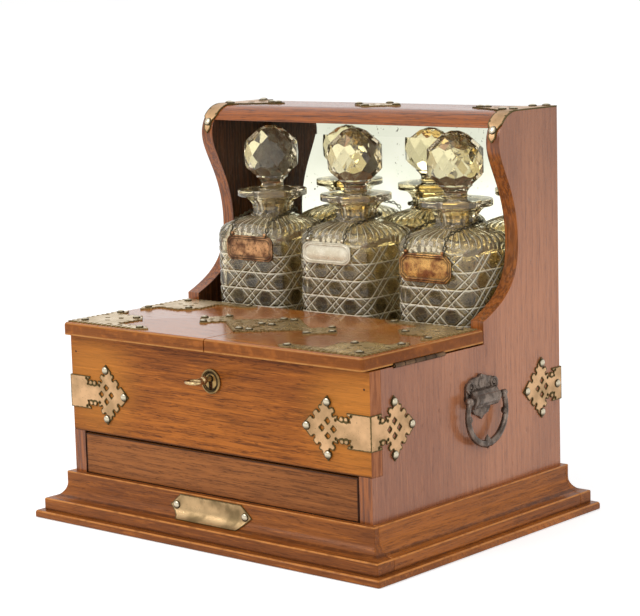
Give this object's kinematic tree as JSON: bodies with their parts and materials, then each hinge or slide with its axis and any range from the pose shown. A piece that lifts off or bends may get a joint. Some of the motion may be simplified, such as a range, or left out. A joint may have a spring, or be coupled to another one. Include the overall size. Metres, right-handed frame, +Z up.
{
  "type": "tantalus",
  "caption": "Oak tantalus: a hooded case that locks square cut-glass decanters behind hinged lids over a front compartment, with a base drawer, pierced brass mounts and side handles.",
  "frame": {"origin": "middle of the base board's underside, on the floor", "axes": "+X is the object's right as seen from its front, -Y its front, +Z up"},
  "size_m": [0.3484, 0.272, 0.3137],
  "materials": {
    "oak": "satin",
    "oak_side": "satin",
    "oak_dark": "satin",
    "brass": "satin",
    "nail": "polished",
    "iron": "satin",
    "steel": "satin",
    "glass": "polished",
    "mirror": "polished",
    "label_copper": "polished",
    "label_pale": "polished",
    "chain": "satin"
  },
  "bodies": {
    "case": {"base_board": "oak", "plinth_front": "oak", "plinth_back": "oak_side", "plinth_sides": "oak_side", "side_panel_left": "oak_side", "side_panel_right": "oak_side", "back_panel": "oak_dark", "top_board": "oak", "front_panel": "oak", "case_bottom": "oak_dark", "dust_board": "oak_dark", "partition": "oak_dark", "mirror": "mirror", "hinge_case_leaves": "brass", "hinge_pins": "steel", "lock_case": "brass", "escutcheon": "brass", "corner_strap_front_left": "brass", "corner_strap_front_right": "brass", "corner_strap_back_left": "brass", "corner_strap_back_right": "brass", "hood_strap_left": "brass", "hood_strap_right": "brass", "hood_centre_mount": "brass", "case_nails": "nail", "plaque": "brass", "handle_plate_left": "iron", "handle_plate_right": "iron", "drawer_spring": "steel"},
    "drawer": {"drawer_front": "oak", "drawer_sides": "oak_dark", "drawer_back": "oak_dark", "drawer_bottom": "oak_dark"},
    "drawer_pin": {"drawer_pin": "brass"},
    "key": {"key": "steel"},
    "lock_bolt": {"lock_bolt": "steel"},
    "lid_left": {"lid_left": "oak", "lid_mounts_left": "brass", "lid_nails_left": "nail", "hinge_lid_leaf_left": "brass", "link_plate_left": "brass"},
    "bail_left": {"handle_bail_left": "iron"},
    "lid_right": {"lid_right": "oak", "lid_mounts_right": "brass", "lid_nails_right": "nail", "hinge_lid_leaf_right": "brass", "link_plate_right": "brass"},
    "bail_right": {"handle_bail_right": "iron"},
    "decanter_left": {"decanter_left": "glass", "chain_left": "chain"},
    "stopper_left": {"stopper_left": "glass"},
    "label_left": {"label_left": "label_copper"},
    "decanter_middle": {"decanter_middle": "glass", "chain_middle": "chain"},
    "stopper_middle": {"stopper_middle": "glass"},
    "label_middle": {"label_middle": "label_pale"},
    "decanter_right": {"decanter_right": "glass", "chain_right": "chain"},
    "stopper_right": {"stopper_right": "glass"},
    "label_right": {"label_right": "label_copper"}
  },
  "joints": [
    {"name": "lid_left_hinge", "type": "hinge", "parent": "case", "child": "lid_left", "pos_m": [-0.1506, -0.0572, 0.144], "axis": [0, -1, 0], "range_deg": [0, 100]},
    {"name": "lid_right_hinge", "type": "hinge", "parent": "case", "child": "lid_right", "pos_m": [0.1506, -0.0572, 0.144], "axis": [0, 1, 0], "range_deg": [0, 100]},
    {"name": "drawer_slide", "type": "slide", "parent": "case", "child": "drawer", "axis": [0, -1, 0], "range_m": [0, 0.12]},
    {"name": "drawer_pin_drop", "type": "slide", "parent": "case", "child": "drawer_pin", "axis": [0, 0, -1], "range_m": [0, 0.007]},
    {"name": "key_turn", "type": "hinge", "parent": "case", "child": "key", "pos_m": [0, -0.1118, 0.124], "axis": [0, 1, 0], "range_deg": [0, 90]},
    {"name": "lock_bolt_slide", "type": "slide", "parent": "case", "child": "lock_bolt", "axis": [1, 0, 0], "range_m": [0, 0.004]},
    {"name": "handle_left_swing", "type": "hinge", "parent": "case", "child": "bail_left", "pos_m": [-0.157, 0.0131, 0.1055], "axis": [0, 1, 0], "range_deg": [0, 90]},
    {"name": "handle_right_swing", "type": "hinge", "parent": "case", "child": "bail_right", "pos_m": [0.157, 0.0131, 0.1055], "axis": [0, -1, 0], "range_deg": [0, 90]},
    {"name": "decanter_left_lift", "type": "slide", "parent": "case", "child": "decanter_left", "axis": [0, 0, 1], "range_m": [0, 0.0025]},
    {"name": "stopper_left_turn", "type": "hinge", "parent": "decanter_left", "child": "stopper_left", "pos_m": [-0.089, 0.059, 0.2458], "axis": [0, 0, 1], "continuous": true},
    {"name": "label_left_swing", "type": "hinge", "parent": "decanter_left", "child": "label_left", "pos_m": [-0.082, 0.0216, 0.2114], "axis": [-1, 0, 0], "range_deg": [0, 30]},
    {"name": "decanter_middle_lift", "type": "slide", "parent": "case", "child": "decanter_middle", "axis": [0, 0, 1], "range_m": [0, 0.0025]},
    {"name": "stopper_middle_turn", "type": "hinge", "parent": "decanter_middle", "child": "stopper_middle", "pos_m": [-0.001, 0.059, 0.2458], "axis": [0, 0, 1], "continuous": true},
    {"name": "label_middle_swing", "type": "hinge", "parent": "decanter_middle", "child": "label_middle", "pos_m": [-0.0015, 0.0216, 0.2114], "axis": [-1, 0, 0], "range_deg": [0, 30]},
    {"name": "decanter_right_lift", "type": "slide", "parent": "case", "child": "decanter_right", "axis": [0, 0, 1], "range_m": [0, 0.0025]},
    {"name": "stopper_right_turn", "type": "hinge", "parent": "decanter_right", "child": "stopper_right", "pos_m": [0.097, 0.059, 0.2458], "axis": [0, 0, 1], "continuous": true},
    {"name": "label_right_swing", "type": "hinge", "parent": "decanter_right", "child": "label_right", "pos_m": [0.095, 0.0216, 0.2079], "axis": [-1, 0, 0], "range_deg": [0, 30]}
  ],
  "couplings": [
    {"joint": "key_turn", "follows": "lock_bolt_slide", "rad_per_m": 392.7}
  ]
}
